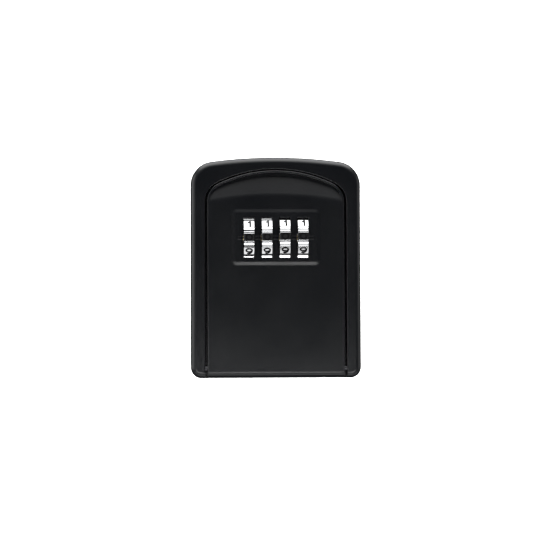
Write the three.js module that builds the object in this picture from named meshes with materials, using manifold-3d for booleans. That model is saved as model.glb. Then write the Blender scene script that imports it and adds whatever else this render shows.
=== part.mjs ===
// Wall-mounted key box with an arched door and a four-wheel combination lock.
//
// Units are millimetres. X runs to the viewer's right, Y runs into the wall
// and Z is up, so the door faces -Y. The origin is the centre of the flat
// back face. Inside the root group heights are counted from the underside of
// the housing, and the group is lowered by half the height.

import * as THREE from 'three';
import { mergeVertices } from 'three/addons/utils/BufferGeometryUtils.js';
import Module from 'manifold-3d';

const wasm = await Module();
wasm.setup();

// ---------------------------------------------------------------- dimensions

// housing, outside
const BOX_W = 92.5;
const BOX_H = 120;
const BOX_D = 33.5;
const TOP_ARC_R = 265;          // the gently arched top edge
const TOP_CORNER_R = 13;
const FOOT_CORNER_R = 5.8;
const RIM_ROUND = 3.5;          // rounded outer front edge
const BACK_T = 3;               // wall that lies against the mounting wall
const RIM_DEPTH = 8;            // solid front frame, front to rear

// arched recess that takes the door, and the key pocket behind it
const RECESS = { hw: 38.5, R: 72.2, cz: 41.2, r: 11.8, bottom: -2, foot: 0 };
const RECESS_DEPTH = 5.5;
const POCKET = { hw: 35, R: 68.7, cz: 41.2, r: 9, bottom: 9, foot: 2 };
const REAR_POCKETS = [          // x from, x to, z from, z to, on either side
  [37.6, 43.2, 13, 33],
  [37.6, 43.2, 36, 79],
  [37.6, 43.2, 82, 104],
  [24, 37, 108.4, 114.1],
];

// door
const DOOR = { hw: 37.2, R: 71.4, cz: 41.4, r: 11, bottom: 0.4, foot: 0.8 };
const DOOR_DEPTH = 5.5;         // edge thickness
const DOOR_PLATE_T = 3;         // thickness of the field
const DOOR_EDGE = 0.7;          // small round along the sides and the arch
const DOOR_FOOT_R = 3.3;        // big round along the lower front edge
const DOOR_HEEL_R = 1.5;        // round along the lower rear edge
const HINGE_Y = -30.3;
const HINGE_Z = 5.2;
const HINGE_SWEEP_R = 5.2;      // room for the door's foot to turn in
const PIN_R = 1.5;

// finger scoop below the arch
const SCOOP_CREASE_R = 198;     // the lower edge is an arc of this radius
const SCOOP_CREASE_Z = 99;      // its highest point
const SCOOP_SLOPE = 0.2586;     // depth gained per millimetre of height
const LIP_W = 1.4;              // front width of the lip above the scoop

// raised dial panel
const PANEL_HW = 24.1;
const PANEL_Z0 = 61.1;
const PANEL_Z1 = 91.6;
const PANEL_CORNER_R = 3;
const PANEL_RISE = 1;
const PANEL_CHAMFER = 1.9;

// wheels, wheel slots and the index groove
const WHEEL_PITCH = 9.77;
const WHEEL_X = [-1.5, -0.5, 0.5, 1.5].map((k) => k * WHEEL_PITCH);
const AXIS_Y = -27.1;
const AXIS_Z = 76;
const WHEEL_W = 5.7;
const WHEEL_APOTHEM = 12.5;     // axis to the flat of a digit pad
const WHEEL_GROOVE_R = 11.6;    // axis to the bottom of a finger groove
const SLOT_W = 6.4;
const WELL_R = 12.95;
const GROOVE_HW = 20.7;
const GROOVE_W = 1.5;
const GROOVE_DEPTH = 0.4;

// code sleeves, axle and change lever
const SLEEVE_R = 2.6;
const SLEEVE_BORE_R = 1.65;
const DISC_R = 3.5;
const DISC_X0 = 3.1;            // from the wheel's middle
const DISC_X1 = 5.0;
const AXLE_R = 1.4;
const CHANGE_TRAVEL = 1.6;      // sideways travel that frees the wheels

// cover over the mechanism, on the rear of the door
const COVER_HW = 32.5;
const COVER_Z0 = 57.8;
const COVER_Z1 = 97.2;
const COVER_Y0 = -30.2;
const COVER_Y1 = -12.2;
const COVER_T = 1.5;
const POST_X = 28.3;
const POST_Z = [63.2, 91.8];

// latch and strike
const LATCH_HW = 7;
const LATCH_Y0 = -25.6;
const LATCH_Y1 = -21.6;
const LATCH_TOP = 102.4;        // drawn down, clear of the strike
const COMB_Z0 = 89.6;           // the comb and the latch's foot, drawn down
const COMB_Z1 = 92.4;
const STRIKE_HW = 15;
const STRIKE_Z = 107;           // upper face of the strike plate
const STRIKE_LIP_Z = 102.8;     // lower edge of its lip
const SPRING_X = 23.6;

// wall screws, four, through the back
const WALL_HOLE_X = 22;
const WALL_HOLE_Z = 28;
const WALL_HOLE_R = 3;

// ----------------------------------------------------------------- materials

const paint = (color, roughness) =>
  new THREE.MeshStandardMaterial({ color, roughness, metalness: 0.3 });
const metal = (color, roughness) =>
  new THREE.MeshStandardMaterial({ color, roughness, metalness: 1 });

// ------------------------------------------------------------ shape builders

const rad = (degrees) => (degrees * Math.PI) / 180;

// points on an arc, both ends included
function arc(cx, cy, r, from, to, steps) {
  const out = [];
  for (let i = 0; i <= steps; i++) {
    const a = rad(from + ((to - from) * i) / steps);
    out.push(new THREE.Vector2(cx + r * Math.cos(a), cy + r * Math.sin(a)));
  }
  return out;
}

// joins runs of points and drops a point that repeats the one before it
function chain(...runs) {
  const out = [];
  for (const p of runs.flat()) {
    if (!out.length || out[out.length - 1].distanceTo(p) > 1e-4) out.push(p);
  }
  if (out[0].distanceTo(out[out.length - 1]) <= 1e-4) out.pop();
  return out;
}

const pt = (x, y) => new THREE.Vector2(x, y);

// the housing's outline, moved inwards by inset
function boxOutline(inset, nTop = 14, nCorner = 9, nFoot = 5) {
  const hw = BOX_W / 2;
  const cx = hw - TOP_CORNER_R;
  const cTop = BOX_H - TOP_ARC_R;
  const cz = cTop + Math.sqrt((TOP_ARC_R - TOP_CORNER_R) ** 2 - cx ** 2);
  const t = (Math.atan2(cz - cTop, cx) * 180) / Math.PI;
  const r = TOP_CORNER_R - inset;
  const f = FOOT_CORNER_R - inset;
  return chain(
    arc(hw - FOOT_CORNER_R, FOOT_CORNER_R, f, -90, 0, nFoot),
    arc(cx, cz, r, 0, t, nCorner),
    arc(0, cTop, TOP_ARC_R - inset, t, 180 - t, nTop),
    arc(-cx, cz, r, 180 - t, 180, nCorner),
    arc(-(hw - FOOT_CORNER_R), FOOT_CORNER_R, f, 180, 270, nFoot),
  );
}

// an outline with straight sides and an arched top, moved inwards by inset
function archOutline(shape, inset = 0, nTop = 16, nCorner = 7) {
  const hw = shape.hw - inset;
  const r = shape.r - inset;
  const R = shape.R - inset;
  const bottom = shape.bottom + inset;
  const cx = hw - r;
  const cz = shape.cz + Math.sqrt((R - r) ** 2 - cx ** 2);
  const t = (Math.atan2(cz - shape.cz, cx) * 180) / Math.PI;
  const f = shape.foot;
  const feet = f
    ? [
        arc(hw - f, bottom + f, f, -90, 0, 3),
        arc(-(hw - f), bottom + f, f, 180, 270, 3),
      ]
    : [[pt(hw, bottom)], [pt(-hw, bottom)]];
  return chain(
    feet[0],
    arc(cx, cz, r, 0, t, nCorner),
    arc(0, shape.cz, R, t, 180 - t, nTop),
    arc(-cx, cz, r, 180 - t, 180, nCorner),
    feet[1],
  );
}

function roundRect(x0, y0, x1, y1, r, n = 4) {
  return chain(
    arc(x1 - r, y0 + r, r, -90, 0, n),
    arc(x1 - r, y1 - r, r, 0, 90, n),
    arc(x0 + r, y1 - r, r, 90, 180, n),
    arc(x0 + r, y0 + r, r, 180, 270, n),
  );
}

// a closed three.js geometry as a solid; triangles are turned to face out
function solid(geometry) {
  const bare = new THREE.BufferGeometry();
  bare.setAttribute('position', geometry.getAttribute('position').clone());
  if (geometry.index) bare.setIndex(geometry.index.clone());
  const merged = mergeVertices(bare, 1e-4);
  const p = merged.getAttribute('position').array;
  const index = merged.index.array;
  const tri = [];
  let volume = 0;
  for (let i = 0; i < index.length; i += 3) {
    const [a, b, c] = [index[i], index[i + 1], index[i + 2]];
    if (a === b || b === c || c === a) continue;
    tri.push(a, b, c);
    const [ax, ay, az] = [p[3 * a], p[3 * a + 1], p[3 * a + 2]];
    const [bx, by, bz] = [p[3 * b], p[3 * b + 1], p[3 * b + 2]];
    const [cx, cy, cz] = [p[3 * c], p[3 * c + 1], p[3 * c + 2]];
    volume +=
      ax * (by * cz - bz * cy) + ay * (bz * cx - bx * cz) + az * (bx * cy - by * cx);
  }
  if (volume < 0) {
    for (let i = 0; i < tri.length; i += 3) [tri[i], tri[i + 1]] = [tri[i + 1], tri[i]];
  }
  return new wasm.Manifold(
    new wasm.Mesh({
      numProp: 3,
      vertProperties: Float32Array.from(p),
      triVerts: Uint32Array.from(tri),
    }),
  );
}

function geometryOf(body) {
  const mesh = body.getMesh();
  const n = mesh.numProp;
  const count = mesh.vertProperties.length / n;
  const position = new Float32Array(count * 3);
  for (let i = 0; i < count; i++) {
    for (let k = 0; k < 3; k++) position[3 * i + k] = mesh.vertProperties[n * i + k];
  }
  const geometry = new THREE.BufferGeometry();
  geometry.setAttribute('position', new THREE.BufferAttribute(position, 3));
  geometry.setIndex(Array.from(mesh.triVerts));
  geometry.computeVertexNormals();
  return geometry;
}

function extruded(points, options, holes = []) {
  const shape = new THREE.Shape(points);
  shape.holes = holes.map((h) => new THREE.Path(h));
  return new THREE.ExtrudeGeometry(shape, { bevelEnabled: false, steps: 1, ...options });
}

// outline in x, z, extruded from y0 (front) to y1 (rear)
function prismY(points, y0, y1, holes = []) {
  const g = extruded(points, { depth: y1 - y0 }, holes);
  g.rotateX(Math.PI / 2);
  g.translate(0, y1, 0);
  return solid(g);
}

// the same with both end faces bevelled: the outline narrows by size over rise
function prismYBevelled(points, y0, y1, size, rise, segments) {
  const g = extruded(points, {
    depth: y1 - y0 - 2 * rise,
    bevelEnabled: true,
    bevelSize: size,
    bevelOffset: -size,
    bevelThickness: rise,
    bevelSegments: segments,
  });
  g.rotateX(Math.PI / 2);
  g.translate(0, y1 - rise, 0);
  return solid(g);
}

// outline in y, z, extruded from x0 to x1
function prismX(points, x0, x1, holes = []) {
  const g = extruded(points, { depth: x1 - x0 }, holes);
  g.applyMatrix4(new THREE.Matrix4().set(0, 0, 1, x0, 1, 0, 0, 0, 0, 1, 0, 0, 0, 0, 0, 1));
  return solid(g);
}

// outline in x, y, extruded from z0 to z1
function prismZ(points, z0, z1, holes = []) {
  const g = extruded(points, { depth: z1 - z0 }, holes);
  g.translate(0, 0, z0);
  return solid(g);
}

function block(x0, x1, y0, y1, z0, z1) {
  const g = new THREE.BoxGeometry(x1 - x0, y1 - y0, z1 - z0);
  g.translate((x0 + x1) / 2, (y0 + y1) / 2, (z0 + z1) / 2);
  return solid(g);
}

// a round bar along X, Y or Z from a to b; u and v place its axis
function bar(axis, a, b, u, v, r, segments = 24) {
  const g = new THREE.CylinderGeometry(r, r, b - a, segments);
  if (axis === 'x') {
    g.rotateZ(-Math.PI / 2);
    g.translate((a + b) / 2, u, v);
  } else if (axis === 'y') {
    g.translate(u, (a + b) / 2, v);
  } else {
    g.rotateX(Math.PI / 2);
    g.translate(u, v, (a + b) / 2);
  }
  return solid(g);
}

// a turned shape: profile of [radius, along] about an axis through u, v
function turned(axis, profile, u, v, segments = 20) {
  const g = new THREE.LatheGeometry(
    profile.map(([r, h]) => pt(r, h)),
    segments,
  );
  if (axis === 'x') {
    g.rotateZ(-Math.PI / 2);
    g.translate(0, u, v);
  } else if (axis === 'y') {
    g.translate(u, 0, v);
  } else {
    g.rotateX(Math.PI / 2);
    g.translate(u, v, 0);
  }
  return solid(g);
}

const join = (first, ...rest) => rest.reduce((a, b) => a.add(b), first);
const cut = (first, ...rest) => rest.reduce((a, b) => a.subtract(b), first);

// -------------------------------------------------------------------- pieces

function housing() {
  const front = -BOX_D;

  // outer form, rounded along the front edge, flat at the rear
  let body = prismYBevelled(boxOutline(0), front, 6, RIM_ROUND, RIM_ROUND, 4);
  body = cut(body, block(-60, 60, 0, 20, -10, 140));

  // pockets cast into the rear of the frame, beside and above the key pocket
  const hollowFront = front + RIM_DEPTH;
  const hollows = [];
  for (const s of [-1, 1]) {
    for (const [x0, x1, z0, z1] of REAR_POCKETS) {
      hollows.push(block(Math.min(s * x0, s * x1), Math.max(s * x0, s * x1), hollowFront, 1, z0, z1));
    }
  }

  // door recess and key pocket; a flat boss for the strike stays in the ceiling
  const recess = prismY(archOutline(RECESS), front - 1, front + RECESS_DEPTH);
  const pocket = cut(
    prismY(archOutline(POCKET), front + RECESS_DEPTH - 0.5, -BACK_T),
    block(-17, 17, front + RECESS_DEPTH, -13.5, STRIKE_Z + 0.3, 125),
  );

  // room for the foot of the door to turn
  const sweep = bar('x', -RECESS.hw, RECESS.hw, HINGE_Y, HINGE_Z, HINGE_SWEEP_R, 40);
  const undercut = block(-RECESS.hw, RECESS.hw, front, -27.3, -2, 5);

  body = cut(body, ...hollows, recess, pocket, sweep, undercut);

  // blind bores for the hinge pins
  body = cut(
    body,
    bar('x', 38, 43.3, HINGE_Y, HINGE_Z, PIN_R + 0.12, 20),
    bar('x', -43.3, -38, HINGE_Y, HINGE_Z, PIN_R + 0.12, 20),
  );

  // countersunk holes for four wall screws
  for (const x of [-WALL_HOLE_X, WALL_HOLE_X]) {
    for (const z of [BOX_H / 2 - WALL_HOLE_Z, BOX_H / 2 + WALL_HOLE_Z]) {
      body = cut(
        body,
        turned(
          'y',
          [
            [0, 1],
            [WALL_HOLE_R, 1],
            [WALL_HOLE_R, -1.2],
            [WALL_HOLE_R + 2.4, -3.6],
            [0, -3.6],
          ],
          x,
          z,
          20,
        ),
      );
    }
  }

  // blind holes for the strike screws
  for (const x of [-10, 10]) body = cut(body, bar('z', 106, 111.2, x, -19.5, 1.62, 16));
  return body;
}

function doorPanel() {
  const front = -BOX_D;
  const rear = front + DOOR_DEPTH;

  // plate with a small round at the front edge
  let door = prismYBevelled(archOutline(DOOR, 0, 20, 8), front, rear + 2, DOOR_EDGE, DOOR_EDGE, 2);
  const side = chain(
    [pt(front - 1, 120), pt(front - 1, DOOR.bottom + DOOR_FOOT_R)],
    arc(front + DOOR_FOOT_R, DOOR.bottom + DOOR_FOOT_R, DOOR_FOOT_R, 180, 270, 6),
    arc(rear - DOOR_HEEL_R, DOOR.bottom + DOOR_HEEL_R, DOOR_HEEL_R, 270, 360, 3),
    [pt(rear, 120)],
  );
  door = door.intersect(prismX(side, -50, 50));

  // thinner field, from the hinge barrel up to the back of the scoop
  const field = prismY(archOutline({ ...DOOR, bottom: 7, foot: 2 }, 3, 10, 5), front + DOOR_PLATE_T, rear + 1);
  door = cut(door, field.intersect(block(-60, 60, -40, 0, 0, 97.7)));

  // raised panel round the wheels
  door = join(
    door,
    prismYBevelled(
      roundRect(-PANEL_HW, PANEL_Z0, PANEL_HW, PANEL_Z1, PANEL_CORNER_R),
      front - PANEL_RISE,
      front + PANEL_RISE + 0.4,
      PANEL_CHAMFER,
      PANEL_RISE,
      1,
    ),
  );

  // finger scoop: a cone-shaped floor that deepens towards the lip
  const y = (r) => front + (r - SCOOP_CREASE_R) * SCOOP_SLOPE;
  const ring = turned(
    'y',
    [
      [SCOOP_CREASE_R - 2, y(SCOOP_CREASE_R - 2)],
      [SCOOP_CREASE_R + 18, y(SCOOP_CREASE_R + 18)],
      [SCOOP_CREASE_R + 18, front - 2],
      [SCOOP_CREASE_R - 2, front - 2],
      [SCOOP_CREASE_R - 2, y(SCOOP_CREASE_R - 2)],
    ],
    0,
    SCOOP_CREASE_Z - SCOOP_CREASE_R,
    300,
  );
  const scoop = prismY(archOutline({ ...DOOR, bottom: 60, foot: 0 }, LIP_W, 20, 8), front - 3, rear);
  door = cut(door, scoop.intersect(ring));

  // posts for the cover screws, and saddles for the axle
  for (const x of [-POST_X, POST_X]) {
    for (const z of POST_Z) {
      door = join(door, bar('y', front + 2, COVER_Y1 - COVER_T - 0.3, x, z, 2.5, 18));
      door = cut(door, bar('y', COVER_Y1 - 10, COVER_Y1 - 0.8, x, z, 1.25, 12));
    }
  }
  for (const s of [-1, 1]) {
    const [a, b] = s < 0 ? [-25.2, -22.4] : [22.4, 25.2];
    door = join(door, block(a, b, front + 2, AXIS_Y + 3.4, AXIS_Z - 3.8, AXIS_Z + 3.8));
    door = cut(
      door,
      bar('x', a - 0.5, b + 0.5, AXIS_Y, AXIS_Z, AXLE_R + 0.2, 20),
      block(a - 0.5, b + 0.5, AXIS_Y, AXIS_Y + 4, AXIS_Z - AXLE_R - 0.2, AXIS_Z + AXLE_R + 0.2),
    );
  }

  // wheel wells with their slots, the channel for the code sleeves and the
  // index groove across the panel
  for (const x of WHEEL_X) {
    door = cut(door, bar('x', x - SLOT_W / 2, x + SLOT_W / 2, AXIS_Y, AXIS_Z, WELL_R, 72));
  }
  door = cut(
    door,
    bar('x', -22.4, 22.4, AXIS_Y, AXIS_Z, DISC_R + 0.45, 24),
    bar('x', 22, 29, AXIS_Y, AXIS_Z, AXLE_R + 0.2, 20),
    block(
      -GROOVE_HW,
      GROOVE_HW,
      front - PANEL_RISE - 1,
      front - PANEL_RISE + GROOVE_DEPTH,
      AXIS_Z - GROOVE_W / 2,
      AXIS_Z + GROOVE_W / 2,
    ),
  );

  // blind bores for the hinge pins
  return cut(
    door,
    bar('x', 33.3, 38, HINGE_Y, HINGE_Z, PIN_R + 0.2, 20),
    bar('x', -38, -33.3, HINGE_Y, HINGE_Z, PIN_R + 0.2, 20),
  );
}

function lockCover() {
  const outer = prismYBevelled(
    roundRect(-COVER_HW, COVER_Z0, COVER_HW, COVER_Z1, 4, 5),
    COVER_Y0 - 4,
    COVER_Y1,
    0.8,
    0.8,
    2,
  );
  const inner = prismY(
    roundRect(-COVER_HW + COVER_T, COVER_Z0 + COVER_T, COVER_HW - COVER_T, COVER_Z1 - COVER_T, 2.6, 4),
    COVER_Y0 - 5,
    COVER_Y1 - COVER_T,
  );
  let cover = cut(outer, block(-60, 60, -60, COVER_Y0, 40, 110), inner);

  // guides beside and behind the latch, and fingers that keep the axle in its saddles
  cover = join(
    cover,
    block(LATCH_HW + 0.4, LATCH_HW + 1.8, -25.4, COVER_Y1 - 0.8, COMB_Z0 - 0.3, COVER_Z1 - 1),
    block(-LATCH_HW - 1.8, -LATCH_HW - 0.4, -25.4, COVER_Y1 - 0.8, COMB_Z0 - 0.3, COVER_Z1 - 1),
    block(-2.5, 2.5, -20.8, COVER_Y1 - 0.8, COMB_Z0 - 0.3, COVER_Z1 - 1),
    block(22.5, 25.1, AXIS_Y + AXLE_R + 0.35, COVER_Y1 - 0.8, AXIS_Z - 1.5, AXIS_Z + 1.5),
    block(-25.1, -22.5, AXIS_Y + AXLE_R + 0.35, COVER_Y1 - 0.8, AXIS_Z - 1.5, AXIS_Z + 1.5),
  );

  // openings for the latch and the change lever
  cover = cut(
    cover,
    block(-LATCH_HW - 0.5, LATCH_HW + 0.5, LATCH_Y0 - 0.5, LATCH_Y1 + 0.5, COVER_Z1 - 2.5, COVER_Z1 + 1),
    block(-29.9, -25, COVER_Y1 - 3, COVER_Y1 + 1, AXIS_Z - 2.2, AXIS_Z + 2.2),
  );

  // countersinks for the corner screws, and holes for the two detent rivets
  for (const x of [-POST_X, POST_X]) {
    for (const z of POST_Z) {
      cover = cut(
        cover,
        turned(
          'y',
          [
            [0, COVER_Y1 + 0.4],
            [2.85, COVER_Y1 + 0.4],
            [1.4, COVER_Y1 - 1.05],
            [1.4, COVER_Y1 - 2.5],
            [0, COVER_Y1 - 2.5],
          ],
          x,
          z,
          16,
        ),
      );
    }
  }
  for (const x of [-13, 13]) cover = cut(cover, bar('y', COVER_Y1 - 3, COVER_Y1 + 1, x, 65, 0.95, 12));
  return cover;
}

function countersunkScrew(headR, shankR, length) {
  // along +Y from the flat of the head at y = 0 to the tip at y = -length
  return turned(
    'y',
    [
      [0, 0],
      [headR, 0],
      [shankR, -(headR - shankR)],
      [shankR, -(length - 0.5)],
      [shankR * 0.6, -length],
      [0, -length],
    ],
    0,
    0,
    14,
  );
}

function strikePlate() {
  const y0 = -27.4;
  const z1 = STRIKE_Z;
  const profile = [
    pt(y0, STRIKE_LIP_Z),
    pt(y0 + 1.5, STRIKE_LIP_Z),
    pt(y0 + 1.5, z1 - 1.5),
    pt(-15, z1 - 1.5),
    pt(-15, z1),
    pt(y0 + 1, z1),
    pt(y0 + 0.3, z1 - 0.3),
    pt(y0, z1 - 1),
  ];
  let plate = prismX(profile, -STRIKE_HW, STRIKE_HW);
  for (const x of [-10, 10]) {
    plate = cut(
      plate,
      turned(
        'z',
        [
          [0, z1 - 2],
          [3.4, z1 - 2],
          [1.75, z1 - 0.35],
          [1.75, z1 + 1],
          [0, z1 + 1],
        ],
        x,
        -19.5,
        16,
      ),
    );
  }
  return plate;
}

function lobes(outer, inner, outerHalf, innerHalf) {
  const out = [];
  for (let k = 0; k < 10; k++) {
    const a = 36 * k;
    for (const [d, r] of [
      [-innerHalf, inner],
      [-outerHalf, outer],
      [outerHalf, outer],
      [innerHalf, inner],
    ]) {
      out.push(pt(r * Math.cos(rad(a + d)), r * Math.sin(rad(a + d))));
    }
  }
  return out;
}

// ten digit pads with finger grooves between them; the hole is wide on the
// left, and on the right it has ten notches that take the sleeve's lobes
function dialWheel() {
  const rim = [];
  const corner = WHEEL_APOTHEM / Math.cos(rad(10));
  for (let k = 0; k < 10; k++) {
    const a = 180 + 36 * k;
    for (const [d, r] of [
      [-10, corner],
      [10, corner],
      [15.2, WHEEL_GROOVE_R + 0.08],
      [20.8, WHEEL_GROOVE_R + 0.08],
    ]) {
      rim.push(pt(r * Math.cos(rad(a + d)), r * Math.sin(rad(a + d))));
    }
  }
  const hw = WHEEL_W / 2;
  let wheel = prismX(rim, -hw, hw);
  return cut(
    wheel,
    bar('x', -hw - 1, 1.25, 0, 0, SLEEVE_R + 0.25, 20),
    prismX(lobes(3.8, 3.3, 6, 12), 1.2, hw + 1),
  );
}

// sleeve that the wheel turns on; its lobes drive the notched disc, whose
// gate stands up when the wheel shows its code digit
function codeSleeve() {
  const tube = bar('x', -4.5, DISC_X0 + 0.3, 0, 0, SLEEVE_R, 16);
  const dog = prismX(lobes(3.5, 3.0, 4.5, 9.5), 1.45, 2.75);
  const disc = bar('x', DISC_X0, DISC_X1, 0, 0, DISC_R, 24);
  return cut(
    join(tube, dog, disc),
    bar('x', -6, 6, 0, 0, SLEEVE_BORE_R, 12),
    block(DISC_X0 - 0.1, DISC_X1 + 0.1, -1.2, 1.2, 2.15, 5),
  );
}

function axle() {
  const left = -30.5;
  const shoulder = -27.0;
  const right = 26.8;
  const groove = (x) => [
    [AXLE_R, x],
    [1.0, x],
    [1.0, x + 0.8],
    [AXLE_R, x + 0.8],
  ];
  return turned(
    'x',
    [
      [0, left],
      [0.8, left],
      [1.0, left + 0.2],
      [1.0, -30.2],
      [0.75, -30.2],
      [0.75, -29.4],
      [1.0, -29.4],
      [1.0, shoulder],
      ...groove(-20.05),
      ...groove(19.75),
      [AXLE_R, right - 0.4],
      [AXLE_R - 0.4, right],
      [0, right],
    ].flatMap((p, i, all) =>
      i && all[i - 1][0] === 1.0 && all[i - 1][1] === shoulder ? [[AXLE_R, shoulder], p] : [p],
    ),
    AXIS_Y,
    AXIS_Z,
    16,
  );
}

// open spring ring that snaps into a groove of the axle
function ringClip(inner, outer, thickness) {
  const outline = chain(
    arc(0, 0, outer, 35, 325, 14),
    arc(0, 0, inner, 325, 35, 12),
  );
  return prismX(outline, -thickness / 2, thickness / 2);
}

function changeLever() {
  const z = AXIS_Z;
  const outline = [
    pt(-29.6, z - 2.8),
    pt(-22, z - 2.8),
    pt(-18.5, z - 1.8),
    pt(-10.4, z - 1.8),
    pt(-10, z - 1.4),
    pt(-10, z + 1.4),
    pt(-10.4, z + 1.8),
    pt(-18.5, z + 1.8),
    pt(-22, z + 2.8),
    pt(-29.6, z + 2.8),
  ];
  return cut(
    prismX(outline, -29.3, -27.2),
    bar('x', -31, -26, AXIS_Y, AXIS_Z, 1.15, 16),
  );
}

function latchBolt() {
  const outline = [
    pt(-26, COMB_Z0),
    pt(LATCH_Y1, COMB_Z0),
    pt(LATCH_Y1, LATCH_TOP - 3.2),
    pt(LATCH_Y0 + 1.3, LATCH_TOP),
    pt(LATCH_Y0 + 0.5, LATCH_TOP),
    pt(LATCH_Y0, LATCH_TOP - 0.9),
    pt(LATCH_Y0, COMB_Z1),
    pt(-26, COMB_Z1),
  ];
  return cut(
    prismX(outline, -LATCH_HW, LATCH_HW),
    bar('y', -27, -23.2, -4.5, 91, 0.95, 12),
    bar('y', -27, -23.2, 4.5, 91, 0.95, 12),
  );
}

// flat comb across the wheel gaps, with one tooth for each code disc
function comb() {
  const [y0, y1] = [-27.9, -26.3];
  const [z0, z1] = [COMB_Z0, COMB_Z1];
  const tip = AXIS_Z + DISC_R + 0.35;
  const tooth = (DISC_X0 + DISC_X1) / 2;
  const teeth = WHEEL_X.map((x) => [x + tooth - 0.65, x + tooth + 0.65]);
  const outline = [pt(-25.3, z1), pt(-25.3, z0)];
  for (const [a, b] of teeth) {
    outline.push(pt(a, z0), pt(a, tip + 0.4), pt(a + 0.3, tip), pt(b - 0.3, tip), pt(b, tip + 0.4), pt(b, z0));
  }
  outline.push(pt(25.3, z0), pt(25.3, z1));
  return cut(
    join(
      prismY(outline, y0, y1),
      block(-25.3, -21.7, -30, y1, z0, z0 + 1.2),
      block(21.7, 25.3, -30, y1, z0, z0 + 1.2),
    ),
    bar('y', -29, -26, -4.5, 91, 0.95, 12),
    bar('y', -29, -26, 4.5, 91, 0.95, 12),
  );
}

// round wire wound as a compression spring standing on z0
class Helix extends THREE.Curve {
  constructor(r, z0, z1, turns) {
    super();
    Object.assign(this, { r, z0, z1, turns });
  }
  getPoint(t, target = new THREE.Vector3()) {
    const a = 2 * Math.PI * this.turns * t;
    return target.set(this.r * Math.cos(a), this.r * Math.sin(a), this.z0 + (this.z1 - this.z0) * t);
  }
}

function coilSpring(r, wire, z0, z1, turns) {
  const section = arc(0, 0, wire, 0, 300, 5);
  return solid(
    new THREE.ExtrudeGeometry(new THREE.Shape(section), {
      steps: Math.round(turns * 11),
      bevelEnabled: false,
      extrudePath: new Helix(r, z0 + wire, z1 - wire, turns),
    }),
  );
}

// one stamped strip: its upright leg is riveted to the cover, and four
// fingers reach forward under the wheels, each with a nose in a finger groove
function detentSpring() {
  const t = 0.4;
  const path = [
    [-14.2, 67.6],
    [-14.2, 60.5],
    [-15.0, 59.9],
    [-24.3, 60.2],
    [-26.0, 62.2],
    [-27.1, 64.15],
    [-28.0, 62.6],
  ];
  const offset = (side) =>
    path.map(([y, z], i) => {
      const [py, pz] = path[Math.max(i - 1, 0)];
      const [ny, nz] = path[Math.min(i + 1, path.length - 1)];
      const d = Math.hypot(ny - py, nz - pz);
      return pt(y + (side * t * (nz - pz)) / d / 2, z - (side * t * (ny - py)) / d / 2);
    });
  const finger = [...offset(1), ...offset(-1).reverse()];
  let spring = block(-19, 19, -14.4, -14, 61.6, 67.6);
  for (const x of WHEEL_X) spring = join(spring, prismX(finger, x - 2, x + 2));
  return cut(spring, bar('y', -15, -13, -13, 65, 0.95, 12), bar('y', -15, -13, 13, 65, 0.95, 12));
}

// ------------------------------------------------------------------ assembly

const black = paint(0x15171a, 0.55);
const blackInner = paint(0x1a1b1d, 0.6);
const chrome = metal(0xc9ccd0, 0.12);
const steel = metal(0xa9abad, 0.35);
const zinc = metal(0x8f9194, 0.45);
const brass = metal(0xb39a58, 0.35);

const root = new THREE.Group();
root.position.z = -BOX_H / 2;

function piece(name, body, material, parent = root, x = 0, y = 0, z = 0) {
  const mesh = new THREE.Mesh(geometryOf(body), material);
  mesh.name = name;
  mesh.position.set(x, y, z);
  parent.add(mesh);
  return mesh;
}

// housing and what is fixed to it
piece('body_housing', housing(), black);
const pin = bar('x', -4.5, 4.5, 0, 0, PIN_R, 20);
piece('hinge_pin_left', pin, steel, root, -38.5, HINGE_Y, HINGE_Z);
piece('hinge_pin_right', pin, steel, root, 38.5, HINGE_Y, HINGE_Z);
piece('strike_plate', strikePlate(), steel);
const strikeScrew = countersunkScrew(2.6, 1.45, 5.2);
for (const [name, x] of [
  ['strike_screw_left', -10],
  ['strike_screw_right', 10],
]) {
  const screw = piece(name, strikeScrew, steel, root, x, -19.5, STRIKE_Z - 1.4);
  screw.rotation.x = -Math.PI / 2;
}

// door, with everything that swings with it
const door = new THREE.Group();
root.add(door);
piece('door_panel', doorPanel(), black, door);
piece('lock_cover', lockCover(), blackInner, door);
const coverScrew = countersunkScrew(2.15, 1.1, 8);
[
  ['cover_screw_1', -POST_X, POST_Z[1]],
  ['cover_screw_2', POST_X, POST_Z[1]],
  ['cover_screw_3', -POST_X, POST_Z[0]],
  ['cover_screw_4', POST_X, POST_Z[0]],
].forEach(([name, x, z]) => piece(name, coverScrew, steel, door, x, COVER_Y1 - 0.1, z));
piece('detent_spring', detentSpring(), steel, door);
const rivet = join(bar('y', -14.6, -12.4, 0, 0, 0.8, 12), bar('y', -15.1, -14.55, 0, 0, 1.6, 14));
piece('detent_rivet_left', rivet, zinc, door, -13, 0, 65);
piece('detent_rivet_right', rivet, zinc, door, 13, 0, 65);

// four number wheels on their code sleeves
const wheel = dialWheel();
const sleeve = codeSleeve();
WHEEL_X.forEach((x, i) => {
  piece(`dial_wheel_${i + 1}`, wheel, chrome, door, x, AXIS_Y, AXIS_Z);
  piece(`code_sleeve_${i + 1}`, sleeve, brass, door, x, AXIS_Y, AXIS_Z);
});

// axle, its clips and the lever that shifts it to change the code
piece('wheel_axle', axle(), steel, door);
piece('axle_clip_left', ringClip(1.15, 2.5, 0.6), zinc, door, -19.65, AXIS_Y, AXIS_Z);
piece('axle_clip_right', ringClip(1.15, 2.5, 0.6), zinc, door, 20.15, AXIS_Y, AXIS_Z);
piece('lever_clip', ringClip(0.9, 2.0, 0.6), zinc, door, -29.8, AXIS_Y, AXIS_Z);
piece('change_lever', changeLever(), zinc, door);

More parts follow.
